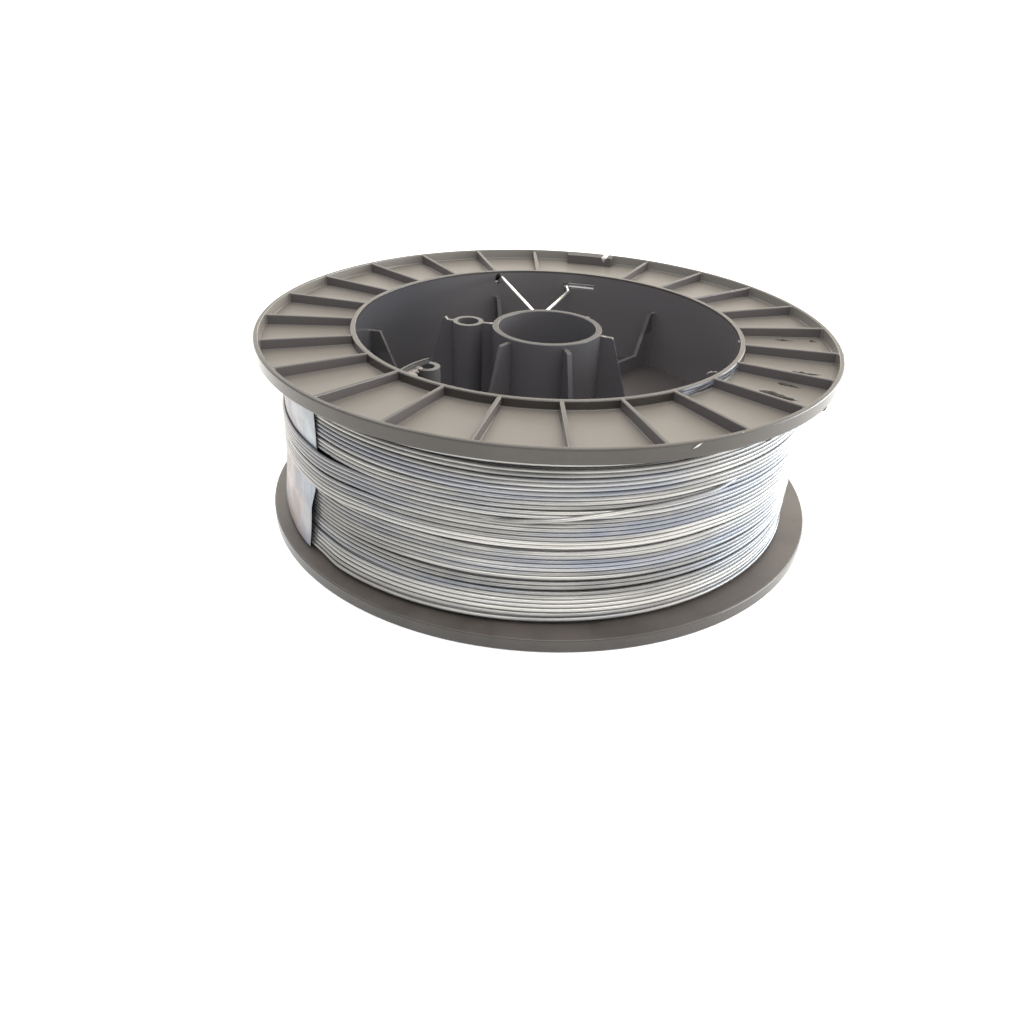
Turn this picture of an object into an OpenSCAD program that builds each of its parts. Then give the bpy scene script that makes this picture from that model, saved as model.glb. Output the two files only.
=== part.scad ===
// Coil of galvanised fence wire on a moulded plastic reel, lying flat.
// Origin: centre of the underside. +Z runs up the reel's axis. Millimetres.

/* [Reel] */
// Diameter over the flanges
reel_d = 300; // [260:1:360]
// Width over the two flanges
reel_w = 100; // [90:1:130]
// Diameter of the barrel's mouth
mouth_d = 200; // [166:0.1:214]
// How far the barrel's mouth lies below the rim's face
mouth_drop = 1; // [0.5:0.1:1.2]
// Thickness of the barrel's wall at the mouth
barrel_wall = 2.6; // [2.4:0.1:4.4]
// How much the barrel's inside tapers from the mouth to the middle web
barrel_draft = 1.2; // [0.4:0.1:2]
// Thickness of the web across the middle of the barrel
web_t = 2; // [1.6:0.1:4]

/* [Flanges] */
// Thickness of each flange over its rim
flange_t = 7; // [6:0.1:12]
// Thickness of the flange's floor, between its ribs
floor_t = 1.6; // [1.4:0.1:3]
// Thickness of the outer rim
rim_t = 2.4; // [2:0.1:4]
// Rounding of the rim's outer edges
rim_round = 0.9; // [0.5:0.1:1.6]
// Rounding of the thin edges: rib tops, barrel mouth and hub ends
edge_round = 0.45; // [0.2:0.05:0.6]
// Chamfer round the outside of the barrel's mouth
mouth_chamfer = 0.4; // [0.2:0.1:1]
// Fillet at the foot of the ribs, the rim and the mouth
foot_round = 0.6; // [0.3:0.1:1]
// Number of ribs round a flange
rib_count = 24; // [12:1:30]
// Thickness of a flange rib
rib_t = 2; // [1.4:0.1:3]
// Angle of the first flange rib from +X
rib_start = 4.5; // [0:0.5:15]

/* [Hub] */
// Diameter of the centre bore
bore_d = 51.6; // [46:0.1:56]
// Thickness of the hub's wall
hub_wall = 3.2; // [2.4:0.1:4]
// How far the hub's ends lie below the flanges' faces
hub_drop = 3; // [1.5:0.1:5]

/* [Spokes] */
// Number of spokes between the hub and the barrel
spoke_count = 6; // [4:1:8]
// Thickness of a spoke
spoke_t = 2.4; // [1.6:0.1:3]
// How far a spoke's top lies below the flange's face at the hub
spoke_drop = 4.6; // [3:0.1:8]
// Height of a spoke's low stretch above the middle of the reel
spoke_low = 10; // [6:0.5:20]
// How far a spoke's top lies below the flange's face at the barrel
spoke_wall_drop = 16.2; // [10:0.1:22]

/* [Bosses] */
// Distance of the drive hole from the reel's axis
drive_r = 43.5; // [42:0.5:48]
// Diameter of the drive hole
drive_d = 11.4; // [9:0.1:12]
// Wall of the tube round the drive hole
drive_wall = 2.5; // [2:0.1:3]
// How far the drive tube's ends lie below the flanges' faces
drive_drop = 4.8; // [3.5:0.1:9]
// Distance of the wire-clip tube's centre from the barrel's inside
clip_inset = 15.8; // [12:0.1:22]
// Bore of the wire-clip tube
clip_d = 6.6; // [5:0.1:9]
// Wall of the wire-clip tube
clip_wall = 2.6; // [1.5:0.1:3]
// How far the clip tube's end lies below the flange's face
clip_drop = 3.5; // [2:0.1:6]

/* [Wire start] */
// Diameter of the wire
wire_d = 2; // [1.6:0.1:2.5]
// Length of the slot in the barrel's wall
slot_l = 19.5; // [14:0.5:24]
// Height of the slot in the barrel's wall
slot_h = 3.7; // [3:0.1:5]
// Diameter of the slanted hole in the barrel's wall
hole_d = 3.8; // [3.2:0.1:4.5]
// Depth of the vee cut in the rim for the wire's end
vee_h = 2.6; // [2:0.1:4.5]
// Radial thickness of the block that the vee is cut through
block_t = 8; // [5:0.5:12]

/* [Winding] */
// How far the wound wire stays below the flanges' edge
fill_drop = 12.2; // [6:0.2:30]
// Spacing of the turns along the axis
turn_pitch = 2.3; // [2.1:0.1:2.8]
// Gap between the winding and the reel
wind_gap = 0.3; // [0.2:0.05:0.6]

/* [Label] */
// Length of the label round the winding
label_l = 100; // [60:1:140]
// Distance from the label's long edges to the flanges
label_margin = 3; // [2:0.5:20]
// Thickness of the label's paper as modelled
label_t = 0.4; // [0.3:0.1:0.6]

/* [Hidden] */
$fn = 96;

reel_r = reel_d / 2;
mid = reel_w / 2;
barrel_in = mouth_d / 2;
barrel_out = barrel_in + barrel_wall;
web_in = barrel_in - barrel_draft;
rim_in = reel_r - rim_t;
bore_r = bore_d / 2;
hub_r = bore_r + hub_wall;
pocket_h = flange_t - floor_t;
wind_r = reel_r - fill_drop;
clip_r = barrel_in - clip_inset;
label_h = reel_w - 2 * flange_t - 2 * label_margin;
wind_in = barrel_out + wind_gap;
sink = 0.6;                       // how far a rib runs into the wall that carries it
bite = 0.1;                       // small overlap that joins two faces
rib_drop = 0.25;                  // how far the rib tops lie below the flange's face
rib_pitch = 360 / rib_count;
spoke_pitch = 360 / spoke_count;
spoke_start = rib_start + 3 * rib_pitch;
start_dir = rib_start + 5 * rib_pitch;      // the sector that holds slot, block and vee
drive_dir = spoke_start + 2 * spoke_pitch;
clip_dir = spoke_start + 3 * spoke_pitch;
drive_out = drive_d / 2 + drive_wall;
clip_out = clip_d / 2 + clip_wall;
mouth_top = mid - mouth_drop;     // the mouth's face, above the middle of the reel
fin_t = 0.9;                      // the fin between the barrel's wall and the clip tube
fin_bow = 1.2;                    // how far the fin bows out of a straight line
fin_side = -2.6;                  // how far the fin's free end lies beside the tube's centre

// A spoke's outline: its top falls a little from the hub, ends in a slope, runs low, and rises again
spoke_flat = 6.5;                 // length of the top beside the hub
drive_flat = 5.3;                 // length of the top beyond the drive tube
drive_tip = 1.5;                  // upturned end of the top beyond the drive tube
spoke_fall = 0.6;
slope_run = 10;
low_min = 0.5;                    // shortest low stretch
rise_run = 10;
shelf_run = 5.6;                   // length of the top beside the barrel

block_share = 0.8;                // share of a rib spacing that the rim block takes
slot_dir = start_dir;
vee_dir = start_dir - 3.9;
vee_top = 3.2;                    // width of the vee at the flange's face and at its foot
vee_foot = 0.6;
hole_dir = start_dir + 29.4;
slot_wire_dir = slot_dir + 3.4;   // direction in which the wire comes to the slot
slot_end_dir = slot_dir + 4.6;    // direction in which it goes out

module at(direction, r = 0, z = 0) {
    rotate([0, 0, direction]) translate([r, 0, z]) children();
}

// A plate of thickness t standing on the axis plane, drawn as (r, z)
module radial_plate(t) {
    rotate([90, 0, 0]) translate([0, 0, -t / 2]) linear_extrude(t) children();
}

// Points of a quarter round of radius r about (cx, cy), from angle a0 on by a quarter turn
function quarter(cx, cy, r, a0, turn = 1, steps = 4) = [for (i = [0:steps])
    [cx + r * cos(a0 + turn * 90 * i / steps), cy + r * sin(a0 + turn * 90 * i / steps)]];

// Half of the reel's turned section, from the middle web up to the flange
function upper_section() = let(e = edge_round, f = foot_round, hub_top = mid - hub_drop) concat(
    [[barrel_out, mid - flange_t]],
    quarter(reel_r - rim_round, mid - flange_t + rim_round, rim_round, -90),
    quarter(reel_r - rim_round, mid - rim_round, rim_round, 0),
    quarter(rim_in + e, mid - e, e, 90, 1, 3),
    quarter(rim_in - f, mid - pocket_h + f, f, 0, -1, 3),
    quarter(barrel_out + f, mid - pocket_h + f, f, -90, -1, 3),
    [[barrel_out, mouth_top - mouth_chamfer], [barrel_out - mouth_chamfer, mouth_top]],
    quarter(barrel_in + e, mouth_top - e, e, 90, 1, 3),
    [[web_in, web_t / 2], [hub_r, web_t / 2]],
    quarter(hub_r - e, hub_top - e, e, 0, 1, 3),
    quarter(bore_r + e, hub_top - e, e, 90, 1, 3));
function flipped(points) = [for (i = [len(points) - 1:-1:0]) [points[i][0], -points[i][1]]];

module turned_body() {
    translate([0, 0, mid]) rotate_extrude($fn = 180)
        polygon(concat(upper_section(), flipped(upper_section())));
}

// Profile of a rib across its run, with its top at z = 0
module rib_profile() {
    polygon(concat([[rib_t / 2, -pocket_h - bite]],
        quarter(rib_t / 2 - edge_round, -edge_round, edge_round, 0, 1, 3),
        quarter(edge_round - rib_t / 2, -edge_round, edge_round, 90, 1, 3),
        [[-rib_t / 2, -pocket_h - bite]]));
}

// Fillets on both sides of a rib's foot; they start a little inside the rib and end inside the floor
module rib_foot() {
    f = foot_round + bite;
    edge = quarter(rib_t / 2 - bite + f, f - pocket_h - bite, f, 180, 1, 3);
    polygon(concat(edge, [for (i = [3:-1:0]) [-edge[i][0], edge[i][1]]]));
}

// The ribs of one flange fall from the rim to the mouth; one place can be left out
module flange_ribs(skip = -1) {
    run = rim_in - barrel_out;
    fall = mouth_drop - rib_drop;
    for (i = [0:rib_count - 1]) if (i != skip) at(rib_start + i * rib_pitch, barrel_out - sink) {
        translate([0, 0, -mouth_drop]) rotate([0, -atan(fall / run), 0]) rotate([90, 0, 90])
            linear_extrude(run + 2 * sink) rib_profile();
        rotate([90, 0, 90]) linear_extrude(run + 2 * sink) rib_foot();
    }
}

function spoke_top(high_to, tip) =
    let(top = mid - spoke_drop, wall_top = mid - spoke_wall_drop, rise_to = barrel_in - shelf_run)
    [[bore_r + sink, top], [high_to - 2.2, top - spoke_fall],
     [high_to - 0.8, top - spoke_fall + tip], [high_to, top - 2 * spoke_fall + tip],
     [high_to + slope_run, spoke_low],
     [max(rise_to - rise_run, high_to + slope_run + low_min), spoke_low],
     [rise_to, wall_top], [barrel_in + sink, wall_top]];

module spoke(high_to, tip) {
    outline = spoke_top(high_to, tip);
    translate([0, 0, mid]) radial_plate(spoke_t) polygon(concat(outline, flipped(outline)));
}

module spokes() {
    for (i = [0:spoke_count - 1]) {
        direction = spoke_start + i * spoke_pitch;
        at(direction)
            if (direction == drive_dir) spoke(drive_r + drive_out + drive_flat, drive_tip);
            else spoke(hub_r + spoke_flat, 0);
    }
}

// The fin's line, as (x, y) with the clip's spoke along x: from the wall past the tube's bore
function fin_line(side) = let(from = [barrel_in + sink, 0], to = [clip_r - clip_out / 2, fin_side],
        along = (to - from) / norm(to - from), out = [-along[1], along[0]])
    [for (i = [0:6]) let(k = i / 6)
        from + k * (to - from) + (4 * k * (1 - k) * fin_bow + side * fin_t / 2) * out];

// The clip tube stands on one spoke; a thin fin runs from the wall over the side of its bore
module clip_tube() {
    left = fin_line(1);
    right = fin_line(-1);
    at(clip_dir) {
        translate([clip_r, 0, mid]) cylinder(r = clip_out, h = mid - clip_drop);
        translate([0, 0, mid]) linear_extrude(mouth_top - bite)
            polygon(concat(left, [for (i = [6:-1:0]) right[i]]));
    }
}

module drive_tube() {
    at(drive_dir, drive_r, drive_drop) cylinder(r = drive_out, h = reel_w - 2 * drive_drop);
}

// Block behind the rim in the sector with no rib
module rim_block() {
    span = block_share * rib_pitch;
    intersection() {
        translate([0, 0, reel_w - pocket_h - sink])
            rotate_extrude($fn = 180)
                translate([rim_in - block_t, 0]) square([block_t + sink, pocket_h + sink]);
        at(start_dir, 0, reel_w - flange_t)
            linear_extrude(flange_t) polygon([[0, 0],
                [reel_d, -reel_d * tan(span / 2)], [reel_d, reel_d * tan(span / 2)]]);
    }
}

module vee_cut() {
    at(vee_dir) translate([rim_in - block_t - sink, 0, reel_w])
        rotate([90, 0, 90]) linear_extrude(block_t + rim_t + 2 * sink)
            polygon([[-vee_top / 2, sink], [-vee_top / 2, 0], [-vee_foot / 2, -vee_h],
                     [vee_foot / 2, -vee_h], [vee_top / 2, 0], [vee_top / 2, sink]]);
}

module wall_slot() {
    at(slot_dir, web_in - sink, reel_w - flange_t - slot_h) translate([0, -slot_l / 2, 0])
        cube([barrel_out - web_in + 2 * sink, slot_l, slot_h]);
}

// Ends of the slanted hole, as (r, z): inside just below the face, outside under the flange
hole_in = [barrel_in - 0.9, reel_w - 4.2];
hole_out = [barrel_out, reel_w - flange_t - 2.4];
hole_over = 2;                    // how far the drill runs past both ends

module wall_hole() {
    run = hole_out - hole_in;
    at(hole_dir, hole_in[0], hole_in[1]) rotate([0, atan2(run[0], run[1]), 0])
        translate([0, 0, -hole_over]) cylinder(d = hole_d, h = norm(run) + 2 * hole_over);
}

module spool() {
    color([0.16, 0.155, 0.15]) difference() {
        union() {
            turned_body();
            translate([0, 0, reel_w]) flange_ribs(skip = 5);
            mirror([0, 0, 1]) flange_ribs();
            spokes();
            clip_tube();
            drive_tube();
            rim_block();
        }
        translate([0, 0, -sink]) cylinder(d = bore_d, h = reel_w + 2 * sink);
        at(drive_dir, drive_r, -sink) cylinder(d = drive_d, h = reel_w + 2 * sink);
        at(clip_dir, clip_r, mid + spoke_low) cylinder(d = clip_d, h = mid - clip_drop - spoke_low);
        vee_cut();
        wall_slot();
        wall_hole();
    }
}

// The wound wire: one turned ring whose outside and ends show the turns as low ridges
wind_lo = flange_t + wind_gap;
wind_hi = reel_w - flange_t - wind_gap;
turns = floor((wind_hi - wind_lo) / turn_pitch);
layer_pitch = 1.02 * wire_d;
layers = floor((wind_r - wind_in) / layer_pitch);
ridge = 0.28 * wire_d;            // depth of the groove between two turns
turn_points = [0.06, 0.3, 0.7, 0.94];
layer_points = [0.08, 0.5, 0.92];

// Height of a ridge at a share of its width, from groove to groove
function ridge_h(share) = ridge * sqrt(sin(180 * share));
function side_ridges() = let(step = (wind_hi - wind_lo) / turns)
    [for (i = [0:turns - 1]) for (k = turn_points)
        [wind_r - ridge + ridge_h(k), wind_lo + (i + k) * step]];
function end_ridges() = let(step = (wind_r - ridge - wind_in) / layers)
    [for (i = [0:layers - 1]) for (k = layer_points)
        [wind_in + (i + k) * step, ridge - ridge_h(k)]];

module wire_winding() {
    ends = end_ridges();
    low = [for (p = ends) [p[0], wind_lo + p[1]]];
    high = [for (i = [len(ends) - 1:-1:0]) [ends[i][0], wind_hi - ends[i][1]]];
    color([0.72, 0.73, 0.74]) rotate_extrude($fn = 180)
        polygon(concat([[wind_in, wind_lo + ridge]], low, side_ridges(), high,
                       [[wind_in, wind_hi - ridge]]));
}

// The wire's inner end comes in by the slanted hole, bends behind the hub and goes out by the slot
tail_clear = 1.2;                 // between the wire and the hub
tail_drop = 7.5;                  // how far the bend lies below the flange's face
tail_side = -4.4;                 // how far the bend lies to one side of the axis
slot_mid = reel_w - flange_t - slot_h / 2;
bend_d = 1.08 * wire_d;           // the wire is a little flattened and wide at each bend

function polar(direction, r, z) = [r * cos(direction), r * sin(direction), z];
tail_path = [
    polar(hole_dir, barrel_out - 1, hole_out[1] + 0.4),
    polar(hole_dir, hole_in[0] - 0.6, hole_in[1] + 0.5),
    [tail_side, hub_r + wire_d / 2 + tail_clear, reel_w - tail_drop],
    polar(slot_wire_dir, web_in - 2.6, slot_mid - 3),
    polar(slot_wire_dir + 0.7, web_in - 1.6, slot_mid - 0.4),
    polar(slot_end_dir, barrel_out - 0.3, slot_mid)];

module rod(a, b, d) {
    v = b - a;
    translate(a) rotate([0, acos(v[2] / norm(v)), atan2(v[1], v[0])])
        cylinder(d = d, h = norm(v), $fn = 64);
}

module wire_inner_end() {
    color([0.8, 0.8, 0.79]) {
        for (i = [0:len(tail_path) - 2]) rod(tail_path[i], tail_path[i + 1], wire_d);
        for (i = [1:len(tail_path) - 2]) translate(tail_path[i]) sphere(d = bend_d, $fn = 64);
    }
}

// Blank paper label lying on the winding
label_r = wind_r + wind_gap;
label_end = start_dir + 142.8;    // direction of the label's right edge
label_angle = label_l / label_r * 180 / PI;

module label() {
    color([0.9, 0.9, 0.9]) at(label_end - label_angle)
        rotate_extrude(angle = label_angle, $fn = 180)
            translate([label_r, mid - label_h / 2]) square([label_t, label_h]);
}

spool();
wire_winding();
wire_inner_end();
label();
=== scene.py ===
# Coil of galvanised fence wire on a moulded plastic reel that lies flat.
# Metres and degrees. +Z runs up the reel's axis, and directions are counted from +X towards +Y.
import math
import bpy
import numpy as np
from mathutils import Matrix, Vector


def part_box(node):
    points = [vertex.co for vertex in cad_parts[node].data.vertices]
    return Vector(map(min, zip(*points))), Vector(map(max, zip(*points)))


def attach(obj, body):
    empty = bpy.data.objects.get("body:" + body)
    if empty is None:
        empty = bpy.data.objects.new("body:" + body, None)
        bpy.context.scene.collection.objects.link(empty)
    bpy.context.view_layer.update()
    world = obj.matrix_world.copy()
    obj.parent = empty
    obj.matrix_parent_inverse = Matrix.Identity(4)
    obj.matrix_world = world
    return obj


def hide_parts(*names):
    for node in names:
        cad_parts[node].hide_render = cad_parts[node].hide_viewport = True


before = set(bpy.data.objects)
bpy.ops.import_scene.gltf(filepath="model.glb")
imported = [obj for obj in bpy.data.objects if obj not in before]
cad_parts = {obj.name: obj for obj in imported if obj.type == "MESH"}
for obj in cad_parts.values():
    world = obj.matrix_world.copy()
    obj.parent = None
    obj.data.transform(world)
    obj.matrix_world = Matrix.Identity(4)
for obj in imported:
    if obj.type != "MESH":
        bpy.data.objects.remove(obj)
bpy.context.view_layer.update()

scene = bpy.context.scene
MM = 0.001

# ---------------------------------------------------------------- view, floor and light
# A plain pale floor under soft white light that is strongest from behind and from the right.
# The camera stands 0.43 m in front of the reel's axis and 0.24 m above the floor, and looks down at it.
camera_place = (0.0, -0.43306, 0.24163)
heading, tilt, roll = math.radians(1.896), math.radians(57.653), math.radians(2.284)
camera = bpy.data.objects.new("camera", bpy.data.cameras.new("camera"))
scene.collection.objects.link(camera)
camera.data.sensor_width = 36.0
camera.data.lens = 29.4288
camera.data.shift_y = 0.01931
camera.data.clip_start = 0.01
turned = Matrix.Rotation(heading, 4, "Z") @ Matrix.Rotation(tilt, 4, "X") @ Matrix.Rotation(roll, 4, "Z")
camera.matrix_world = Matrix.Translation(camera_place) @ turned
scene.camera = camera
scene.view_settings.view_transform = "Standard"
scene.view_settings.look = "None"


def new_material(name):
    """A material with a Principled shader alone in its node tree; returns it, the tree and the shader."""
    material = bpy.data.materials.new(name)
    material.use_nodes = True
    tree = material.node_tree
    return material, tree, tree.nodes["Principled BSDF"]


floor_size = 6.0
floor_gap = 0.2 * MM
floor_glow = 0.45
corner = floor_size / 2
floor_corners = [(-corner, -corner, 0), (corner, -corner, 0), (corner, corner, 0), (-corner, corner, 0)]
floor_mesh = bpy.data.meshes.new("floor")
floor_mesh.from_pydata(floor_corners, [], [(0, 1, 2, 3)])
floor = bpy.data.objects.new("floor", floor_mesh)
floor.location.z = -floor_gap
scene.collection.objects.link(floor)
floor_paint, _, shader = new_material("floor_paint")
shader.inputs["Base Color"].default_value = (0.88, 0.88, 0.875, 1)
shader.inputs["Roughness"].default_value = 0.9
shader.inputs["Specular IOR Level"].default_value = 0.1
shader.inputs["Emission Color"].default_value = (1.0, 0.995, 0.98, 1)
shader.inputs["Emission Strength"].default_value = floor_glow
floor_mesh.materials.append(floor_paint)

sky_strength = 2.9
sky_turn = 34                       # degrees from straight behind to the brightest side of the room
sky_stops = ((0.0, (0.42, 0.43, 0.45)), (0.42, (0.58, 0.575, 0.57)), (0.72, (0.86, 0.815, 0.75)),
             (0.95, (1.0, 0.925, 0.82)))
dark_front = 0.50                   # how much darker the room is in front, near the horizon
glow_low, dip_high = 0.5, 0.4       # how much brighter the room behind is low down, and darker above that


def feed(tree, value, socket):
    """Links a socket to a socket, or sets a socket's own value."""
    if hasattr(value, "links"):
        tree.links.new(value, socket)
    else:
        socket.default_value = value


def node(tree, kind, result=0, settings=(), **inputs):
    """Adds a shader node; inputs are given by index (_0, _1, ...) or by name with _ for a space."""
    made = tree.nodes.new(kind)
    for key, value in dict(settings).items():
        setattr(made, key, value)
    for key, value in inputs.items():
        socket = int(key[1:]) if key[1:].isdigit() else key.replace("_", " ")
        feed(tree, value, made.inputs[socket])
    return made.outputs[result]


def split(tree, vector):
    """The x, y and z of a vector."""
    made = tree.nodes.new("ShaderNodeSeparateXYZ")
    tree.links.new(vector, made.inputs[0])
    return made.outputs[0], made.outputs[1], made.outputs[2]


def calc(tree, operation, a, b=0.0, clamp=False):
    """The result of a Math node on two numbers or sockets."""
    return node(tree, "ShaderNodeMath", settings={"operation": operation, "use_clamp": clamp}, _0=a, _1=b)


def product(tree, first, *others):
    """The product of two or more numbers or sockets."""
    for other in others:
        first = calc(tree, "MULTIPLY", first, other)
    return first


def fade(tree, value, start, stop):
    """0 below start, 1 above stop, and a smooth rise between them (the other way round if stop < start)."""
    low, high = (start, stop) if start < stop else (stop, start)
    ends = (0.0, 1.0) if start < stop else (1.0, 0.0)
    return node(tree, "ShaderNodeMapRange", settings={"interpolation_type": "SMOOTHSTEP"},
                Value=value, From_Min=low, From_Max=high, To_Min=ends[0], To_Max=ends[1])


def blend(tree, share, a, b):
    """Colour a where share is 0 and colour b where it is 1."""
    made = tree.nodes.new("ShaderNodeMix")
    made.data_type = "RGBA"
    feed(tree, share, made.inputs["Factor"])
    feed(tree, a if hasattr(a, "links") else (*a, 1), made.inputs["A"])
    feed(tree, b if hasattr(b, "links") else (*b, 1), made.inputs["B"])
    return made.outputs["Result"]


world = bpy.data.worlds.new("studio")
scene.world = world
world.use_nodes = True
sky = world.node_tree
looking = node(sky, "ShaderNodeVectorRotate", settings={"rotation_type": "Z_AXIS"},
               Vector=node(sky, "ShaderNodeTexCoord", "Generated"), Angle=math.radians(sky_turn))
_, back, up = split(sky, looking)
sky_ramp = sky.nodes.new("ShaderNodeValToRGB")
sky_ramp.color_ramp.interpolation = "EASE"
stops = sky_ramp.color_ramp.elements
while len(stops) < len(sky_stops):
    stops.new(0.5)
for stop, (position, tone) in zip(stops, sky_stops):
    stop.position = position
    stop.color = (*tone, 1)
sky.links.new(calc(sky, "ADD", 0.5, product(sky, back, 0.5)), sky_ramp.inputs[0])
dim = product(sky, fade(sky, back, 0.15, -0.45), fade(sky, up, 0.72, 0.38), dark_front)
room = blend(sky, dim, sky_ramp.outputs[0], (0.0, 0.0, 0.0))
# The room behind is brightest below 15 degrees of height and a little darker round 28 degrees
low_glow = product(sky, fade(sky, up, 0.36, 0.25), glow_low)
high_dip = product(sky, fade(sky, up, 0.34, 0.42), fade(sky, up, 0.64, 0.52), dip_high)
behind = fade(sky, back, 0.1, 0.5)
lift = calc(sky, "ADD", 1.0, product(sky, behind, calc(sky, "SUBTRACT", low_glow, high_dip)))
room = node(sky, "ShaderNodeVectorMath", settings={"operation": "SCALE"}, _0=room, Scale=lift)
# The backdrop itself is seen as plain white
seen = node(sky, "ShaderNodeLightPath", "Is Camera Ray")
sky.links.new(blend(sky, seen, room, (1.0, 1.0, 1.0)), sky.nodes["Background"].inputs["Color"])
sky.nodes["Background"].inputs["Strength"].default_value = sky_strength


def soft_light(name, place, target, width, height, power, colour):
    """An area light of a given size at place, facing target."""
    light = bpy.data.lights.new(name, "AREA")
    light.shape = "RECTANGLE"
    light.size = width
    light.size_y = height
    light.energy = power
    light.color = colour
    lamp = bpy.data.objects.new(name, light)
    scene.collection.objects.link(lamp)
    lamp.location = place
    lamp.rotation_euler = (Vector(target) - Vector(place)).to_track_quat("-Z", "Y").to_euler()
    lamp.visible_camera = False


soft_light("window", place=(1.5, 0.32, 0.28), target=(0, 0, 0.05), width=1.7, height=0.46, power=22,
           colour=(0.80, 0.91, 1.0))
soft_light("ceiling", place=(0.15, -0.9, 1.5), target=(0, -0.1, 0.05), width=1.6, height=0.12, power=9,
           colour=(1.0, 0.98, 0.94))

# ---------------------------------------------------------------- reel
# One injection moulding in charcoal plastic: flanges with ribs, barrel, middle web, spokes and hub.
# It keeps its shape from model.glb; here it gets its satin finish, dust, scuffs and stress marks, and painted
# light and shade.
# Its radii and heights, and those of the zones with a finish of their own, are in millimetres.
reel_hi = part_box("spool")[1]
reel_out, reel_top = reel_hi[0] / MM, reel_hi[2] / MM
rim_in = reel_out - 2.4             # the inner face of the rim's ring
mouth_in, mouth_out = 100.0, 102.6  # the barrel's wall at its mouth
mouth_top = reel_top - 1.0
pocket_floor = reel_top - 5.4       # the flange's floor between the ribs
far = 1000.0                        # outside the reel on every side
hub_ring, boss_ring, clip_ring = (24.0, 31.0), (31.0, 60.0), (78.0, 97.4)
boss_ends = (80.0, 98.0)            # heights between which the hub and the tubes end
clip_ends = (72.0, 98.6)
web_ring, web_heights = (25.0, mouth_in), (45.0, 60.0)          # the middle web's upper face
ledge_ring, ledge_heights = (120.0, far), (5.0, 9.0)            # the lower flange beyond the winding
wall_heights = (pocket_floor - 1.0, far)                        # ribs and rim of the upper flange
block_way, glare_way = 79.6, 321.0  # directions of the vee's block and of the painted glare


def new_group(name, inputs, outputs):
    """An empty shader node group with float inputs (one named Vector is a vector) and float outputs;
    returns it, the sockets that bring its inputs and the sockets that take its results."""
    group = bpy.data.node_groups.new(name, "ShaderNodeTree")
    for label, value in inputs:
        kind = "NodeSocketVector" if label == "Vector" else "NodeSocketFloat"
        made = group.interface.new_socket(label, in_out="INPUT", socket_type=kind)
        if label != "Vector":
            made.default_value = value
    for label in outputs:
        group.interface.new_socket(label, in_out="OUTPUT", socket_type="NodeSocketFloat")
    return group, group.nodes.new("NodeGroupInput").outputs, group.nodes.new("NodeGroupOutput").inputs


def use(tree, group, **values):
    """Places a group in a tree with its own values, and returns its outputs by name."""
    made = tree.nodes.new("ShaderNodeGroup")
    made.node_tree = group
    for key, value in values.items():
        feed(tree, value, made.inputs[key.replace("_", " ")])
    return made.outputs


def from_axis(tree, x, y):
    """The distance from the reel's axis: the square root of x squared plus y squared."""
    return calc(tree, "SQRT", calc(tree, "ADD", product(tree, x, x), product(tree, y, y)))


# A ring-shaped zone round the reel's axis: 1 between two radii and two heights, with soft borders.
# Each border gives a share (value - limit) / softness between 0 and 1, and the mask is their product.
ring_zone, given, result = new_group("ring_zone", [("Vector", 0), ("Inner", 0), ("Outer", 1), ("Low", -1),
                                                   ("High", 1), ("Softness", 0.001)], ["Mask"])
x, y, z = split(ring_zone, given["Vector"])
axis_r = from_axis(ring_zone, x, y)
borders = []
for less, more in ((given["Inner"], axis_r), (axis_r, given["Outer"]), (given["Low"], z), (z, given["High"])):
    past = calc(ring_zone, "SUBTRACT", more, less)
    borders.append(calc(ring_zone, "DIVIDE", past, given["Softness"], clamp=True))
ring_zone.links.new(product(ring_zone, *borders), result["Mask"])

# Fine mould grain: noise at Scale, and slow patches at Patch Scale, both between 0 and 1
mould_grain, given, result = new_group("mould_grain", [("Vector", 0), ("Scale", 400), ("Patch Scale", 30)],
                                       ["Grain", "Patches"])
fine = node(mould_grain, "ShaderNodeTexNoise", Vector=given["Vector"], Scale=given["Scale"], Detail=3.0)
slow = node(mould_grain, "ShaderNodeTexNoise", Vector=given["Vector"], Scale=given["Patch Scale"], Detail=4.0,
            Roughness=0.6)
mould_grain.links.new(fine, result["Grain"])
mould_grain.links.new(fade(mould_grain, slow, 0.34, 0.66), result["Patches"])

# Hairline scratches: thin bands where a long-drawn noise crosses its middle, in two directions
hairlines, given, result = new_group("hairlines", [("Vector", 0), ("Scale", 60), ("Width", 0.02)], ["Mask"])
lines = 0.0
for turn, seed in ((0.5, 0.0), (2.1, 7.3)):
    drawn = node(hairlines, "ShaderNodeMapping", Vector=given["Vector"], Location=(seed, seed, seed),
                 Rotation=(0.0, 0.0, turn), Scale=(1.0, 0.06, 0.06))
    noise = node(hairlines, "ShaderNodeTexNoise", Vector=drawn, Scale=given["Scale"], Detail=1.0)
    off = calc(hairlines, "ABSOLUTE", calc(hairlines, "SUBTRACT", noise, 0.5))
    line = calc(hairlines, "SUBTRACT", 1.0, calc(hairlines, "DIVIDE", off, given["Width"]), clamp=True)
    rare = node(hairlines, "ShaderNodeTexNoise", Vector=drawn, Scale=55.0, Detail=0.0)
    lines = calc(hairlines, "MAXIMUM", lines, product(hairlines, line, fade(hairlines, rare, 0.52, 0.62)))
hairlines.links.new(lines, result["Mask"])

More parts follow.
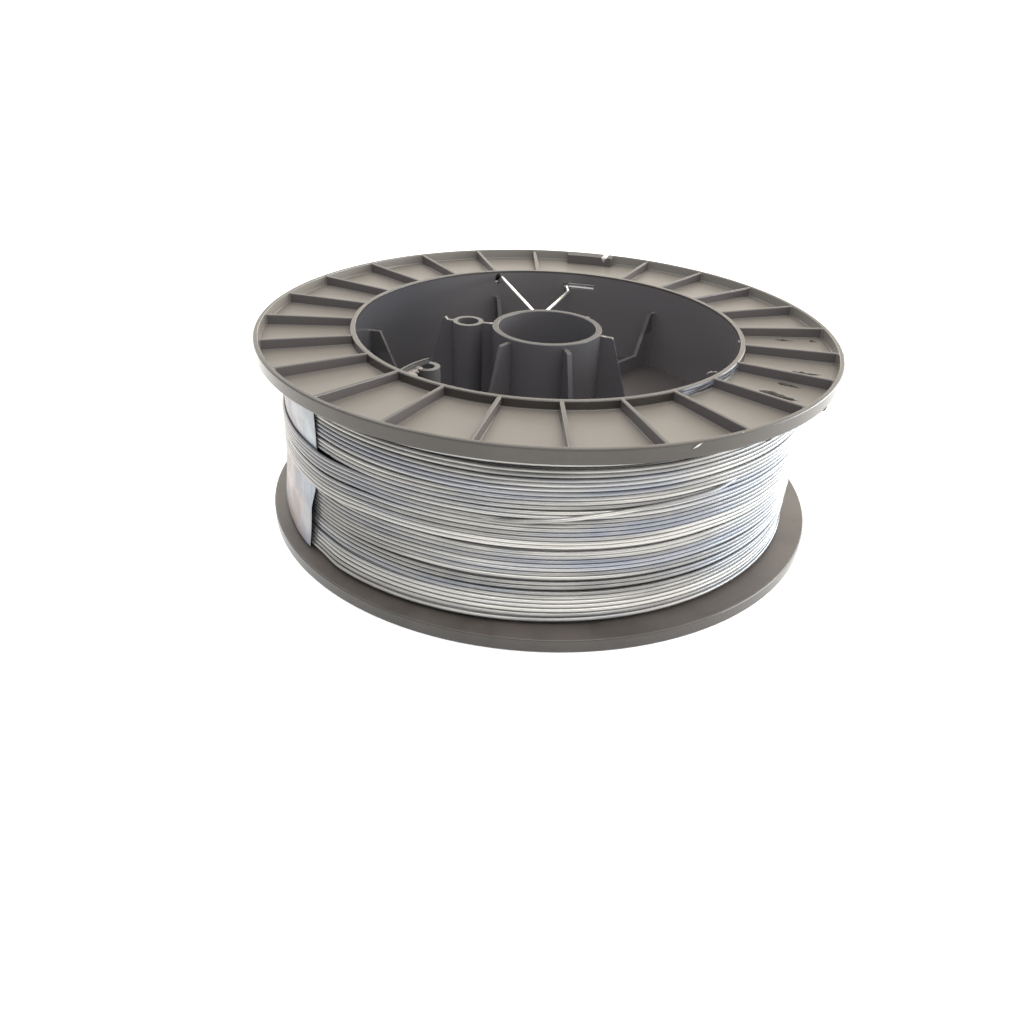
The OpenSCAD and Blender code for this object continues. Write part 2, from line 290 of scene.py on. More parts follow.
# Dust specks and small nicks: dots round the points of a Voronoi pattern, each with its own size
specks, given, result = new_group("specks", [("Vector", 0), ("Scale", 300), ("Size", 0.1), ("Share", 0.1)],
                                  ["Mask"])
cells = specks.nodes.new("ShaderNodeTexVoronoi")
feed(specks, given["Vector"], cells.inputs["Vector"])
feed(specks, given["Scale"], cells.inputs["Scale"])
lot = node(specks, "ShaderNodeTexWhiteNoise", Vector=cells.outputs["Position"])
reach = product(specks, given["Size"], calc(specks, "ADD", 0.5, product(specks, lot, 4.0)))
dot = calc(specks, "LESS_THAN", cells.outputs["Distance"], reach)
specks.links.new(product(specks, dot, calc(specks, "LESS_THAN", lot, given["Share"])), result["Mask"])


def zone(tree, place, radii, heights, softness):
    """The mask of a ring-shaped zone whose radii, heights and soft border are in millimetres."""
    inner, outer, low, high, border = (value * MM for value in (*radii, *heights, softness))
    return use(tree, ring_zone, Vector=place, Inner=inner, Outer=outer, Low=low, High=high,
               Softness=border)["Mask"]


def towards(tree, x, y, way):
    """How far a place lies towards a direction in degrees: x times its cosine plus y times its sine."""
    way = math.radians(way)
    return calc(tree, "ADD", product(tree, x, math.cos(way)), product(tree, y, math.sin(way)))


def coated(tree, colour, coats):
    """A colour with coats over it, laid on in turn; each coat is a share and a tone."""
    for share, tone in coats:
        colour = blend(tree, share, colour, tone)
    return colour


def weighed(tree, base, *parts):
    """A base value plus the sum of the parts, each a mask times its weight."""
    for mask, weight in parts:
        base = calc(tree, "ADD", base, product(tree, mask, weight))
    return base


reel_plastic, tree, shader = new_material("reel_plastic")
place = node(tree, "ShaderNodeTexCoord", "Object")
x, y, z = split(tree, place)
axis_r = from_axis(tree, x, y)
normal = node(tree, "ShaderNodeNewGeometry", "Normal")
facing_up = fade(tree, split(tree, normal)[2], 0.6, 0.9)
upright = calc(tree, "SUBTRACT", 1.0, facing_up)
grain = use(tree, mould_grain, Vector=place, Scale=900.0, Patch_Scale=24.0)
hairline = use(tree, hairlines, Vector=place, Scale=110.0, Width=0.010)["Mask"]
scratch = product(tree, facing_up, 0.5, hairline)
dots = use(tree, specks, Vector=place, Scale=170.0, Size=0.06, Share=0.10)["Mask"]
nicks = use(tree, specks, Vector=place, Scale=420.0, Size=0.3, Share=0.05)["Mask"]

# Masks of the reel's parts
inside = zone(tree, place, (-far, mouth_in + 1.2), (2.0, mouth_top - 0.5), 1.0)
clip = zone(tree, place, clip_ring, clip_ends, 0.4)
rim_edge = zone(tree, place, (reel_out - 1.6, reel_out + 2.0), (reel_top - 1.6, reel_top + 10.0), 0.8)
web_dust = product(tree, facing_up, zone(tree, place, web_ring, web_heights, 2.0))
ledge_dust = product(tree, facing_up, zone(tree, place, ledge_ring, ledge_heights, 0.5))
hub_top = product(tree, facing_up, zone(tree, place, hub_ring, boss_ends, 0.5))
pockets = product(tree, facing_up, zone(tree, place, (mouth_out, rim_in + 1.2),
                                        (pocket_floor - 1.0, reel_top - 1.2), 0.4))
rim_inside = product(tree, upright, zone(tree, place, (rim_in - 1.2, rim_in + 0.8), wall_heights, 0.4))
rib_sides = product(tree, upright, zone(tree, place, (mouth_out, rim_in + 0.8), wall_heights, 0.4))
boss_tops = product(tree, facing_up, zone(tree, place, boss_ring, boss_ends, 0.5))
block_top = product(tree, facing_up, fade(tree, towards(tree, x, y, block_way), 138.2 * MM, 139.2 * MM),
                    fade(tree, z, (reel_top - 2.0) * MM, (reel_top - 1.0) * MM))
raised_tops = calc(tree, "MAXIMUM", boss_tops, block_top)
worn_tops = product(tree, facing_up, fade(tree, z, (reel_top - 3.6) * MM, (reel_top - 3.2) * MM))
# A painted highlight: the window's glare on the outside of the barrel's mouth, laid on as pale bluish streaks
upright_streaks = node(tree, "ShaderNodeMapping", Vector=place, Scale=(1.0, 1.0, 26.0))
streaks = node(tree, "ShaderNodeTexNoise", Scale=60.0, Detail=3.0, Vector=upright_streaks)
painted_glare = product(tree, fade(tree, towards(tree, x, y, glare_way), 98.6 * MM, 100.2 * MM),
                  zone(tree, place, (mouth_out - 0.4, mouth_out + 0.6), (pocket_floor, mouth_top), 0.3),
                  fade(tree, streaks, 0.36, 0.62))

# Painted light: the cavity is painted lighter than the rest of the plastic, to lift its shade. Painted shade:
# the barrel's inner wall is painted darker on the left, where the window's light falls on it.
barrel_tone = blend(tree, fade(tree, x, -40 * MM, -88 * MM), (0.118, 0.112, 0.117), (0.062, 0.061, 0.068))
inside_tone = blend(tree, fade(tree, axis_r, 92 * MM, 99 * MM), (0.084, 0.081, 0.087), barrel_tone)
plastic_tone = blend(tree, grain["Patches"], (0.032, 0.028, 0.025), (0.042, 0.037, 0.033))
worn_patches = product(tree, worn_tops, weighed(tree, 0.35, (grain["Patches"], 0.5)))
dusty_patches = product(tree, ledge_dust, weighed(tree, 0.35, (grain["Patches"], 0.55)))
tree.links.new(coated(tree, plastic_tone, (
    (inside, inside_tone),
    # Painted light: the flange's floors, the ribs' sides and above all the rim's inner face are painted
    # lighter than the rest of the plastic, for the light that falls on them.
    (pockets, (0.128, 0.117, 0.103)),
    (rib_sides, (0.085, 0.077, 0.077)),
    (rim_inside, (0.20, 0.188, 0.172)),
    (clip, (0.055, 0.053, 0.054)),
    (raised_tops, (0.04, 0.038, 0.037)),
    (product(tree, web_dust, 0.9), (0.046, 0.040, 0.038)),
    (hub_top, (0.06, 0.058, 0.056)),
    (worn_patches, (0.055, 0.052, 0.049)),
    (dusty_patches, (0.088, 0.076, 0.069)),
    (product(tree, scratch, 0.2), (0.14, 0.135, 0.13)),
    (product(tree, dots, facing_up, 0.4), (0.42, 0.41, 0.40)),
    (product(tree, nicks, rim_edge), (0.34, 0.33, 0.32)),
    (product(tree, painted_glare, 0.8), (0.34, 0.37, 0.43)),
)), shader.inputs["Base Color"])
gloss = weighed(tree, 0.2, (grain["Patches"], 0.03), (pockets, 0.26), (hub_top, 0.14),
                (calc(tree, "MAXIMUM", clip, ledge_dust), 0.25), (scratch, 0.08),
                (calc(tree, "MAXIMUM", web_dust, worn_tops), 0.26), (raised_tops, 0.26))
tree.links.new(gloss, shader.inputs["Roughness"])
shader.inputs["Specular IOR Level"].default_value = 0.5

# The walls round the axis are shaded as true cylinders: their normal is plus or minus (x, y, 0) / r
wall_limit = 0.998                  # a face counts as such a wall when its normal is this near to radial
radial = node(tree, "ShaderNodeVectorMath", settings={"operation": "NORMALIZE"},
              _0=node(tree, "ShaderNodeCombineXYZ", X=x, Y=y))
outward = node(tree, "ShaderNodeVectorMath", "Value", settings={"operation": "DOT_PRODUCT"},
               _0=normal, _1=radial)
true_normal = node(tree, "ShaderNodeVectorMath", settings={"operation": "SCALE"}, _0=radial,
                   Scale=calc(tree, "SIGN", outward))
wall = tree.nodes.new("ShaderNodeMix")
wall.data_type = "VECTOR"
feed(tree, calc(tree, "GREATER_THAN", calc(tree, "ABSOLUTE", outward), wall_limit), wall.inputs["Factor"])
feed(tree, normal, wall.inputs["A"])
feed(tree, true_normal, wall.inputs["B"])
rise = weighed(tree, 0.0, (grain["Grain"], 0.35), (scratch, -0.25))
tree.links.new(node(tree, "ShaderNodeBump", Strength=0.25, Distance=0.05 * MM, Height=rise,
                    Normal=wall.outputs["Result"]), shader.inputs["Normal"])
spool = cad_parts["spool"]
spool.data.materials.clear()
spool.data.materials.append(reel_plastic)

# ---------------------------------------------------------------- gouges and burrs in the reel
# Knocks in the flange's floor have raised dark lips, and slivers of plastic stand off the rim and the mouth.
# They are torn out of the moulding itself.


def smooth_piece(name, points, faces, run=None):
    """A smooth-shaded object from points and faces; run is the wire_run coordinate of each face's corners."""
    mesh = bpy.data.meshes.new(name)
    mesh.from_pydata(points.reshape(-1, 3).tolist(), [], faces)
    if run is not None:
        mesh.uv_layers.new(name="wire_run").data.foreach_set("uv", run.reshape(-1))
    mesh.polygons.foreach_set("use_smooth", [True] * len(mesh.polygons))
    mesh.update()
    piece = bpy.data.objects.new(name, mesh)
    scene.collection.objects.link(piece)
    return piece


def tube(name, centre, radius, sides, length, flat=1.0):
    """A tube along a path: ring i has its centre at centre[i] and its points at
    centre + radius * (cos a * out + flat * sin a * up), where out is the path's horizontal normal and
    up is perpendicular to it and to the path; length[i] is the length run so far."""
    path = np.gradient(centre, axis=0)
    path /= np.linalg.norm(path, axis=1)[:, None]
    out = np.cross(path, (0.0, 0.0, 1.0))
    out /= np.linalg.norm(out, axis=1)[:, None]
    up = np.cross(out, path)
    angle = np.arange(sides) * 2 * np.pi / sides
    ring = np.cos(angle)[:, None] * out[:, None, :] + flat * np.sin(angle)[:, None] * up[:, None, :]
    points = centre[:, None, :] + np.broadcast_to(radius, len(centre))[:, None, None] * ring
    rings = len(centre)
    i, j = np.meshgrid(np.arange(rings - 1), np.arange(sides), indexing="ij")
    after = (j + 1) % sides
    quads = np.stack([i * sides + j, (i + 1) * sides + j, (i + 1) * sides + after, i * sides + after], -1)
    ends = [list(range(sides)), [(rings - 1) * sides + k for k in range(sides - 1, -1, -1)]]
    u = np.stack([length[i], length[i + 1], length[i + 1], length[i]], -1).reshape(-1)
    v = np.stack([j, j, j + 1, j + 1], -1).reshape(-1) / sides
    run = np.concatenate([np.stack([u, v], -1), np.zeros((2 * sides, 2))])
    return smooth_piece(name, points, quads.reshape(-1, 4).tolist() + ends, run)


def torn_finish(name, dark, light, patch_scale, roughness, specular, depth):
    """Torn plastic, from a dark to a light tone in patches, with a grainy face of the given depth."""
    material, tree, shader = new_material(name)
    place = node(tree, "ShaderNodeTexCoord", "Object")
    grain = use(tree, mould_grain, Vector=place, Scale=1500.0, Patch_Scale=patch_scale)
    tree.links.new(blend(tree, grain["Patches"], dark, light), shader.inputs["Base Color"])
    shader.inputs["Roughness"].default_value = roughness
    shader.inputs["Specular IOR Level"].default_value = specular
    tree.links.new(node(tree, "ShaderNodeBump", Strength=0.6, Distance=depth, Height=grain["Grain"]),
                   shader.inputs["Normal"])
    return material


torn_plastic = torn_finish("torn_plastic", dark=(0.030, 0.028, 0.025), light=(0.06, 0.056, 0.05),
                           patch_scale=260.0, roughness=0.85, specular=0.15, depth=0.15 * MM)
pale_plastic = torn_finish("pale_torn_plastic", dark=(0.08, 0.07, 0.065), light=(0.26, 0.23, 0.22),
                           patch_scale=300.0, roughness=0.45, specular=0.5, depth=0.2 * MM)
bare_sliver, tree, shader = new_material("bare_sliver")
shader.inputs["Base Color"].default_value = (0.55, 0.54, 0.52, 1)
shader.inputs["Roughness"].default_value = 0.35


def lip(name, start, end, half_width, rise, bow, seed, material):
    """A torn lip from start to end, pointed at both ends: its half width at share s is
    half_width * sin(pi * s ** 0.7) * ragged noise, and its middle bows to one side."""
    s = np.linspace(0.0, 1.0, 26)
    rng = np.random.default_rng(seed)
    ragged = 1 + 0.28 * np.convolve(rng.normal(size=28), (0.5, 0.7, 0.5), "valid")
    start, end = np.array(start) * MM, np.array(end) * MM
    side = np.cross(end - start, (0.0, 0.0, 1.0))
    side /= np.linalg.norm(side)
    centre = start + (end - start) * s[:, None] + side * (bow * MM * np.sin(np.pi * s))[:, None]
    radius = half_width * MM * (0.04 + np.sin(np.pi * s ** 0.7)) * np.clip(ragged, 0.45, 1.6)
    piece = tube(name, centre, radius, 10, s, flat=rise / half_width)
    piece.data.materials.append(material)
    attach(piece, "root")


deep = pocket_floor + 0.02
# Each lip's name, its two ends, its half width, its height and its bow in millimetres, and its material
lips = (
    ("gouge_long", (98.6, -68.0, deep), (114.4, -78.2, deep), 2.3, 1.0, 0.5, torn_plastic),
    ("gouge_short", (109.0, -57.6, deep), (119.0, -63.2, deep), 1.1, 0.6, -0.4, torn_plastic),
    ("gouge_curved", (119.6, -41.0, deep), (133.2, -44.3, deep), 0.95, 0.5, 1.2, torn_plastic),
    ("gouge_thin", (121.0, 4.2, deep), (130.6, 3.2, deep), 0.75, 0.45, 0.3, torn_plastic),
    ("gouge_dot", (139.4, 5.2, deep), (142.8, 3.8, deep), 1.1, 0.5, 0.2, torn_plastic),
    ("burr_rim_right", (147.4, -24.0, 99.0), (146.2, -29.5, 99.2), 0.7, 0.4, -0.3, pale_plastic),
    ("burr_rim_low", (127.0, -79.8, 93.4), (122.0, -86.6, 93.0), 0.5, 0.7, 0.2, torn_plastic),
    ("burr_rim_front", (95.6, -114.8, 93.5), (90.6, -118.8, 93.2), 0.55, 0.8, 0.2, torn_plastic),
    ("burr_mouth", (81.0, -57.4, 98.4), (75.0, -60.0, 98.0), 0.45, 0.3, 1.2, pale_plastic),
    ("burr_mouth_right", (98.7, -12.0, 98.6), (98.2, -14.8, 98.4), 0.5, 0.3, 0.2, pale_plastic),
    ("sliver_rim", (59.2, -138.2, 97.7), (63.1, -135.9, 99.6), 0.34, 0.25, 0.1, bare_sliver),
)
for seed, (name, start, end, half_width, rise, bow, material) in enumerate(lips, 1):
    lip(name, start, end, half_width, rise, bow, seed, material)

# ---------------------------------------------------------------- torn web at the wire clip
# A thin web of plastic once closed the corner between the fin, the barrel's wall and the clip tube.
# It is torn off along a ragged edge, and the plastic is pale with stress there.
torn_r = (88.0, 98.9)
torn_way, torn_top, torn_t = 228.0, 97.0, 0.5
torn_steps, torn_across = 26, 9


def sheet(name, top, thickness):
    """A closed thin sheet: a grid of points, the same grid less a thickness, and a border between them."""
    rows, columns = top.shape[:2]
    points = np.concatenate([top.reshape(-1, 3), (top - thickness).reshape(-1, 3)])
    index = np.arange(rows * columns).reshape(rows, columns)
    upper = np.stack([index[:-1, :-1], index[1:, :-1], index[1:, 1:], index[:-1, 1:]], -1).reshape(-1, 4)
    border = np.concatenate([index[:, 0], index[-1, 1:], index[-2::-1, -1], index[0, -2:0:-1]])
    after = np.roll(border, -1)
    under = rows * columns
    sides = np.stack([border, border + under, after + under, after], -1)
    return smooth_piece(name, points, np.concatenate([upper, upper[:, ::-1] + under, sides]).tolist())


# s runs along the corner from the clip tube to the barrel's wall, and t from the fin to the torn edge
s, t = np.meshgrid(np.linspace(0, 1, torn_steps), np.linspace(0, 1, torn_across), indexing="ij")
rng = np.random.default_rng(21)
ragged = 0.85 + 0.25 * np.convolve(rng.normal(size=torn_steps + 2), (0.4, 0.6, 0.4), "valid")
reach = np.radians(2.3 + 2.4 * s ** 2) * np.clip(ragged, 0.5, 1.15)[:, None]
way = np.radians(torn_way + 1.1 * s) + reach * t
r = (torn_r[0] + (torn_r[1] - torn_r[0]) * s) * MM
sag = 0.25 * np.sin(np.pi * s) + 1.4 * t ** 3 * s + 0.05 * rng.normal(size=s.shape) * t
torn_face = np.stack([r * np.cos(way), r * np.sin(way), (torn_top - sag) * MM], -1)
torn_web = sheet("clip_torn_web", torn_face, np.array((0, 0, torn_t * MM)))
torn_web.data.materials.append(pale_plastic)
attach(torn_web, "root")

# ---------------------------------------------------------------- wound wire
# About 465 m of 2 mm galvanised steel wire, wound turn beside turn in some seventeen layers.
# The two outer layers are real helices; what lies under them is one ring with the wires' round backs.
wind_lo, wind_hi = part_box("wire_winding")
wind_r = wind_hi[0]
wire_r = 1.0 * MM
touching = 2.04 * MM                # spacing of two turns that lie side by side
end_gap = 0.1 * MM                  # room between the outermost turns and the flanges
layer_step = 1.85 * wire_r          # a layer lies partly in the grooves of the next
clear = wind_hi[2] - wind_lo[2] - 2 * wire_r - 2 * end_gap
bundle_z = (44.0 * MM, 65.5 * MM)   # the bundle of turns that runs over the label: its heights
bundle_way = (np.radians(150), np.radians(223))
bundle_ramp = np.radians(16)
bundle_lift = 2.05 * MM             # the bundle lies one wire's thickness further out
label_ends = (170.0, 229.0)         # directions between which the label holds the turns in


def ease(share):
    """A share between 0 and 1 made smooth at both ends: 3 share squared minus 2 share cubed."""
    return share * share * (3 - 2 * share)


def height_share(z):
    """0 at the winding's foot and 1 at its top."""
    return np.clip((z - wind_lo[2]) / (wind_hi[2] - wind_lo[2]), 0, 1)


def swell(theta, z):
    """How far the winding stands out of a true cylinder: it is fuller low down on the left and slack low
    down on the right, (0.5 - 3 cos theta) (1 - t) ** 3 + (-0.1 - 0.4 cos theta) t millimetres."""
    t = height_share(z)
    return MM * ((0.5 - 3.0 * np.cos(theta)) * (1 - t) ** 3 + (-0.1 - 0.4 * np.cos(theta)) * t)


def foot(theta, z):
    """How far the lowest turns have slid outwards on the flange: (3.2 - 1.1 cos theta) mm times (1 - t) to
    the tenth, and 0.45 of that under the label."""
    a = np.degrees(np.mod(theta, 2 * np.pi))
    held = np.clip((a - label_ends[0]) / 8, 0, 1) * np.clip((label_ends[1] - a) / 6, 0, 1)
    return MM * (3.2 - 1.1 * np.cos(theta)) * (1 - height_share(z)) ** 10 * (1 - 0.55 * held)


def over_label(theta, z):
    """1 for the turns that run over the label and 0 elsewhere, with soft ends along the turns."""
    a = np.mod(theta, 2 * np.pi)
    begun = np.clip((a - bundle_way[0]) / bundle_ramp + 1, 0, 1)
    left = np.clip((bundle_way[1] - a) / bundle_ramp + 1, 0, 1)
    return ease(begun * left) * ((z > bundle_z[0]) & (z < bundle_z[1]))


def slow_noise(u, seed, lowest, highest, count=14):
    """A smooth random curve of u: count cosines with random frequencies (in turns) and phases."""
    rng = np.random.default_rng(seed)
    freq = rng.uniform(lowest, highest, count)
    phase = rng.uniform(0, 2 * np.pi, count)
    return np.cos(2 * np.pi * u[..., None] * freq + phase).sum(-1) / math.sqrt(count / 2)


def wound_layer(name, layer_r, turns, per_turn, sides, seed, lifted=False):
    """One layer of the winding, a helix of per_turn points a turn. The spacing of two turns is
    touching + mean_gap * g(u), where u counts turns and g is a smooth random curve above zero. The height
    of turn k at a direction is the sum of the spacings below it, scaled to the width between the flanges.
    Each turn lies up to half a millimetre deeper by chance, and wavers by a little more along its way."""
    share = np.arange(per_turn) / per_turn
    u = np.arange(turns)[:, None] + share[None, :]
    g = np.exp(2.2 * slow_noise(u, seed, 0.25, 3.0))
    mean_gap = clear / turns - touching
    spacing = touching + mean_gap * np.minimum(g / g.mean(), 5.0)
    first = spacing[0, 0] * ease(share)
    height = first[None, :] + np.concatenate([np.zeros((1, per_turn)), np.cumsum(spacing, 0)[:-1]])
    last = height[-1] - share * spacing[-1, 0]
    height *= ((clear - 1.2 * touching) / last)[None, :]
    z = (wind_lo[2] + wire_r + end_gap + height).reshape(-1)
    z = np.minimum(z, wind_hi[2] - wire_r - end_gap)
    u = u.reshape(-1)
    theta = 2 * np.pi * u
    turn_sink = np.random.default_rng(seed + 9).uniform(0.0, 0.45, turns + 1)
    turn_sink[-4:] = 0.05
    turn_sink[:2] = 0.0
    k = np.floor(u).astype(int)
    sink = turn_sink[k] * (1 - (u - k)) + turn_sink[k + 1] * (u - k)
    waver = 0.12 * (1 + slow_noise(u, seed + 50, 0.5, 4.0) / 2.2)
    r = layer_r + swell(theta, z) + foot(theta, z) - MM * (sink + waver)
    if lifted:
        at_label = k * per_turn + per_turn * 5 // 9     # where turn k passes 200 degrees
        r = r + (bundle_lift + MM * sink) * over_label(theta, z[at_label])
    centre = np.stack([r * np.cos(theta), r * np.sin(theta), z], -1)
    return tube(name, centre, wire_r, sides, theta * layer_r)


# Weathered zinc: streaks along the wire and tones that change from turn to turn. Painted shade: dark bluish
# bands, a darker warm tone on the left, and a darker bluish tone on the right that holds down the window's
# glare
wire_zinc, tree, shader = new_material("wire_zinc")
place = node(tree, "ShaderNodeTexCoord", "Object")
x = split(tree, place)[0]
wire_run = node(tree, "ShaderNodeUVMap", settings={"uv_map": "wire_run"})


def stretched_noise(tree, source, stretch, **inputs):
    """Noise whose place is first multiplied by a stretch on each axis."""
    stretched = node(tree, "ShaderNodeMapping", Vector=source, Scale=stretch)
    return node(tree, "ShaderNodeTexNoise", Vector=stretched, **inputs)


streak = stretched_noise(tree, wire_run, (1.0, 0.06, 1.0), Scale=26.0, Detail=3.0, Roughness=0.65)
drawn = stretched_noise(tree, wire_run, (30.0, 26.0, 1.0), Scale=1.0, Detail=2.0)
# Painted shade: dark bluish bands across the turns
shade_bands = fade(tree, stretched_noise(tree, place, (7.0, 7.0, 90.0), Scale=1.0, Detail=2.0), 0.46, 0.66)
by_turn = stretched_noise(tree, place, (5.0, 5.0, 330.0), Scale=1.0, Detail=0.0)
patch = use(tree, mould_grain, Vector=place, Scale=1400.0, Patch_Scale=34.0)
# Painted shade: the wires are darker and warmer on the left, and darker and bluer on the right where the
# window's glare falls
left_shade = fade(tree, x, -30 * MM, -100 * MM)
right_shade = fade(tree, x, 45 * MM, 125 * MM)
zinc_tone = blend(tree, fade(tree, streak, 0.3, 0.7), (0.205, 0.204, 0.198), (0.35, 0.346, 0.338))
tree.links.new(coated(tree, zinc_tone, (
    (product(tree, fade(tree, by_turn, 0.52, 0.62), 0.85), (0.52, 0.512, 0.49)),
    (product(tree, fade(tree, by_turn, 0.47, 0.38), 0.75), (0.17, 0.17, 0.17)),
    (product(tree, shade_bands, 0.7), (0.155, 0.18, 0.245)),
    (product(tree, patch["Patches"], 0.3), (0.40, 0.386, 0.355)),
    (product(tree, left_shade, 0.45), (0.155, 0.150, 0.140)),
    (product(tree, right_shade, 0.62), (0.155, 0.175, 0.205)),
)), shader.inputs["Base Color"])
shader.inputs["Metallic"].default_value = 0.5
tree.links.new(weighed(tree, 0.16, (streak, 0.16)), shader.inputs["Roughness"])
tree.links.new(node(tree, "ShaderNodeBump", Strength=0.1, Distance=0.05 * MM,
                    Height=weighed(tree, drawn, (streak, 0.6))), shader.inputs["Normal"])

# The wire inside the winding, and its bent end, have kept their bright zinc
bright_zinc, tree, shader = new_material("bright_zinc")
place = node(tree, "ShaderNodeTexCoord", "Object")
patch = use(tree, mould_grain, Vector=place, Scale=1600.0, Patch_Scale=120.0)
bright_tone = blend(tree, patch["Patches"], (0.80, 0.79, 0.76), (0.92, 0.91, 0.88))
tree.links.new(bright_tone, shader.inputs["Base Color"])
shader.inputs["Metallic"].default_value = 1.0
tree.links.new(weighed(tree, 0.3, (patch["Grain"], 0.15)), shader.inputs["Roughness"])


def wound(piece, replaced="wire_winding", finish=wire_zinc):
    """Gives a wire piece its zinc and its place on the reel."""
    piece.data.materials.append(finish)
    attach(piece, "root")
    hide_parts(replaced)


outer_r = wind_r - wire_r
wound(wound_layer("wire_outer_layer", outer_r, turns=37, per_turn=230, sides=10, seed=3, lifted=True))
wound(wound_layer("wire_second_layer", outer_r - layer_step, turns=36, per_turn=160, sides=8, seed=11))

# The ring under the two layers: the wires' round backs show at the bore and on both ends
core_out, core_in = wind_r - 6.2 * MM, 102.95 * MM
core_lo, core_hi = wind_lo[2] + 0.15 * MM, wind_hi[2] - 0.15 * MM
core_rows, core_columns = 36, 14
row_bump, column_bump = 0.9 * MM, 0.7 * MM


def scallops(start, stop, count, depth, points=5):
    """Places along a side from start to stop with count round bumps; depth is the height of the bumps."""
    share = (np.arange(count * points) + 0.5) / points
    bump = np.sqrt(np.clip(np.sin(np.pi * np.mod(share, 1.0)), 0, 1))
    return start + (stop - start) * share / count, depth * bump


def lathe(name, profile, steps):
    """A closed ring: each point (r, z) of a closed profile turned about the axis in steps."""
    count = len(profile)
    turn = (np.arange(steps) * 2 * np.pi / steps)[:, None]
    r, z = profile[None, :, 0], np.broadcast_to(profile[:, 1], (steps, count))
    points = np.stack([r * np.cos(turn), r * np.sin(turn), z], -1)
    i, j = np.meshgrid(np.arange(steps), np.arange(count), indexing="ij")
    i_next, j_next = (i + 1) % steps, (j + 1) % count
    quads = np.stack([i * count + j, i * count + j_next, i_next * count + j_next, i_next * count + j], -1)
    return smooth_piece(name, points, quads.reshape(-1, 4).tolist())


bore_side, bore_bump = scallops(core_lo, core_hi, core_rows, row_bump)
top_side, top_bump = scallops(core_in + MM, core_out, core_columns, column_bump, 4)
section = np.concatenate([
    np.stack([core_in + row_bump - bore_bump, bore_side], -1),
    np.stack([top_side, core_hi - column_bump + top_bump], -1),
    np.array([[core_out, core_hi - MM], [core_out, core_lo + MM]]),
    np.stack([top_side, core_lo + column_bump - top_bump], -1)[::-1]])
wound(lathe("wire_core", section, 120), finish=bright_zinc)

# One turn was laid on last and crosses the others; both its ends sink in between them.
# Its way is given by directions in degrees and heights in millimetres.
crossing = np.array(((238, 56.8), (262, 58.6), (272, 60.6), (277.9, 62.2), (282.7, 63.9), (287.8, 65.0),
                     (295.9, 66.1), (306, 67.2), (326, 68.6)))
sunk, proud = -1.9, 2.9             # how deep its ends lie, and how far its middle stands out of that


def running_mean(values, count):
    """Each value as the mean of the count values round it."""
    return np.convolve(np.pad(values, count // 2, "edge"), np.ones(count) / count, "valid")


cross_way = np.radians(np.linspace(crossing[0, 0], crossing[-1, 0], 120))
cross_z = running_mean(np.interp(cross_way, np.radians(crossing[:, 0]), crossing[:, 1] * MM), 13)
rising = np.clip((cross_way - np.radians(256)) / np.radians(12), 0, 1)
falling = np.clip((np.radians(314) - cross_way) / np.radians(12), 0, 1)
cross_r = outer_r + swell(cross_way, cross_z) + MM * (sunk + proud * ease(rising) * ease(falling))
cross_path = np.stack([cross_r * np.cos(cross_way), cross_r * np.sin(cross_way), cross_z], -1)
wound(tube("wire_crossing_turn", cross_path, wire_r, 12, cross_way * wind_r))

# ---------------------------------------------------------------- the wire's inner end
# The same wire comes in by the slanted hole, is bent by hand behind the hub and hooked out by the slot.
# Its legs are straight and its bends are tight but round.


def polar(way, r, z):
    """A point at a direction in degrees, a radius and a height in millimetres."""
    return np.array((r * math.cos(math.radians(way)), r * math.sin(math.radians(way)), z)) * MM


tail_step = 0.35 * MM
tail_corners = np.array([polar(108.5, 101.6, 91.6), polar(107.9, 98.3, 95.7), polar(98.7, 31.3, 91.4),
                         polar(82.9, 96.2, 88.15), polar(83.6, 97.2, 90.75), polar(84.1, 102.3, 91.15)])
tail_run = np.concatenate([[0.0], np.cumsum(np.linalg.norm(np.diff(tail_corners, axis=0), axis=1))])
tail_at = np.arange(0.0, tail_run[-1], tail_step)
# Each bend is rounded by a running mean over seven points of the path
tail_path = np.stack([running_mean(np.interp(tail_at, tail_run, line), 7) for line in tail_corners.T], -1)
wound(tube("wire_end_bent", tail_path, wire_r, 16, tail_at), "wire_inner_end", bright_zinc)

# ---------------------------------------------------------------- label
# A blank label of coated paper, creased, that lies on the winding under one bundle of turns.
# Its lower corner stands off, and its surface is stained; its bluish tone is painted reflection, and a
# lighter strip towards the cut edge is painted light.
label_left = np.radians(181.0)
label_z = (8.3 * MM, 91.0 * MM)
# The cut edge, by heights in millimetres and directions in degrees
label_edge = np.array(((8.0, 218.6), (25.0, 219.4), (43.0, 220.3), (64.0, 222.0), (83.0, 222.6),
                       (92.0, 222.8)))
paper_t = 0.15 * MM
crease_count = 14

# s runs along the turns from the left end to the cut edge, and t up the label
s, t = np.meshgrid(np.linspace(0, 1, 110), np.linspace(0, 1, 130), indexing="ij")
z = label_z[0] + (label_z[1] - label_z[0]) * t
edge_way = np.interp(z, label_edge[:, 0] * MM, np.radians(label_edge[:, 1]))
way = label_left + (edge_way - label_left) * s
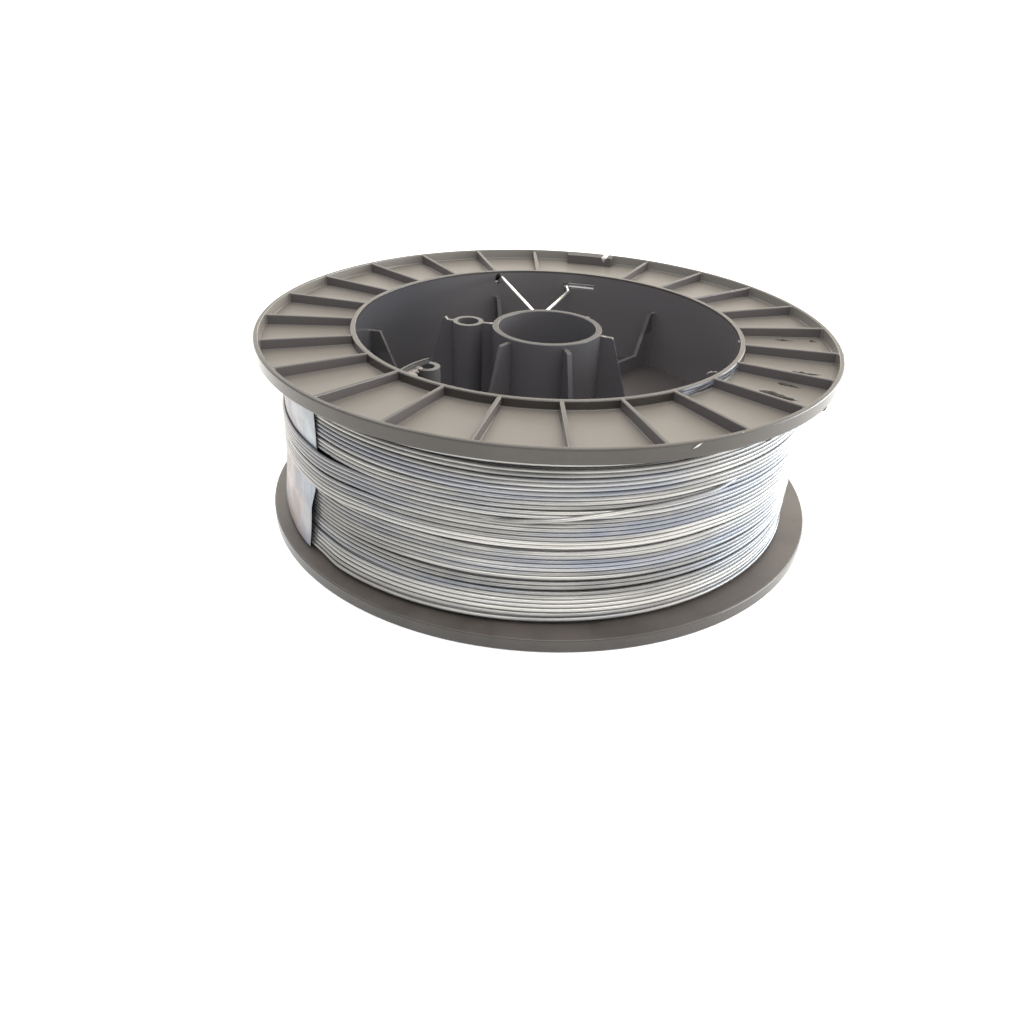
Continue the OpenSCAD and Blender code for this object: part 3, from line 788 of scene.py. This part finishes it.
# It clings to the wires, dips under the bundle, and stands off up to 2.5 mm below it
below = np.clip((bundle_z[0] - z) / (13 * MM), 0, 1)
off = 0.25 + 2.3 * ease(below) * (0.75 + 0.25 * s)
off += 0.5 * np.clip((z - bundle_z[1]) / (20 * MM), 0, 1) * s ** 3
held = np.clip((z - bundle_z[0] - 0.2 * MM) / MM, 0, 1) * np.clip((bundle_z[1] - 0.2 * MM - z) / MM, 0, 1)
rng = np.random.default_rng(5)
crease = np.zeros_like(s)
for _ in range(crease_count):
    turn, pitch, phase = rng.uniform(0, np.pi), rng.uniform(2.0, 9.0), rng.uniform(0, 2 * np.pi)
    wave = np.cos((math.cos(turn) * s * 1.3 + math.sin(turn) * t) * 2 * np.pi * pitch / 2 + phase)
    crease += (1 - np.abs(wave)) / pitch
crease -= crease.mean()
off = np.where(held > 0, off * (1 - held) - 0.1 * held, np.maximum(off + 0.3 * crease * (0.4 + below), 0.2))
r = wind_r + swell(way, z) + off * MM
paper = np.stack([r * np.cos(way), r * np.sin(way), z], -1)
outwards = np.stack([np.cos(way), np.sin(way), np.zeros_like(way)], -1)
label = sheet("label_sheet", paper, outwards * paper_t)

label_paper, tree, shader = new_material("label_paper")
place = node(tree, "ShaderNodeTexCoord", "Object")
x = split(tree, place)[0]
patch = use(tree, mould_grain, Vector=place, Scale=900.0, Patch_Scale=26.0)
stain = use(tree, mould_grain, Vector=place, Scale=300.0, Patch_Scale=70.0)
creases = use(tree, hairlines, Vector=place, Scale=140.0, Width=0.03)["Mask"]
dirt = use(tree, specks, Vector=place, Scale=260.0, Size=0.12, Share=0.14)["Mask"]
# Painted light: a lighter bluish strip towards the cut edge. Painted reflection: the paper's bluish patches;
# its warm grey is its own tone.
lit_edge_strip = fade(tree, x, -122 * MM, -106 * MM)
paper_tone = blend(tree, patch["Patches"], (0.29, 0.24, 0.22), (0.21, 0.25, 0.32))
tree.links.new(coated(tree, paper_tone, (
    (product(tree, lit_edge_strip, 0.75), (0.28, 0.34, 0.38)),
    (product(tree, stain["Patches"], 0.30), (0.20, 0.19, 0.215)),
    (product(tree, calc(tree, "MAXIMUM", creases, dirt), 0.5), (0.13, 0.125, 0.14)),
)), shader.inputs["Base Color"])
tree.links.new(weighed(tree, 0.3, (stain["Patches"], 0.2)), shader.inputs["Roughness"])
tree.links.new(node(tree, "ShaderNodeBump", Strength=0.3, Distance=0.1 * MM,
                    Height=calc(tree, "SUBTRACT", stain["Grain"], creases)), shader.inputs["Normal"])
label.data.materials.append(label_paper)
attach(label, "root")
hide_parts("label")
